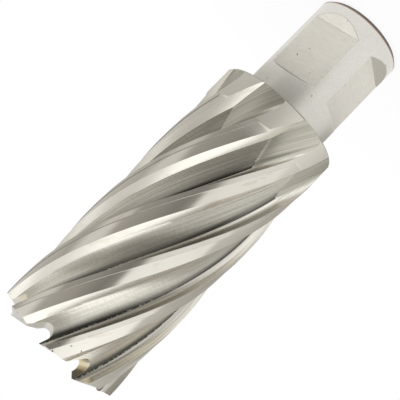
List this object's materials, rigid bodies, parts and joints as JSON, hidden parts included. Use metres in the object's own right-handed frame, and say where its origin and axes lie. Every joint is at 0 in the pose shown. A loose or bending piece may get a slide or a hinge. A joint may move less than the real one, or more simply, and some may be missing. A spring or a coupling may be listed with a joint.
{
  "type": "annular cutter",
  "caption": "Hollow core-cutting tool of ground steel: two-flat shank, fluted body with right-hand helix, and ridged teeth round an open mouth that takes the slug.",
  "frame": {"origin": "centre of the shank's end face", "axes": "+Z along the axis of the cutter, from the shank end to the teeth; +X midway between the two clamping flats, which face 45 degrees to either side of it"},
  "size_m": [0.027, 0.027, 0.0847],
  "materials": {
    "ground_steel": "bright ground steel with fine grinding lines"
  },
  "bodies": {
    "root": {"annular_cutter": "ground_steel"}
  },
  "joints": []
}
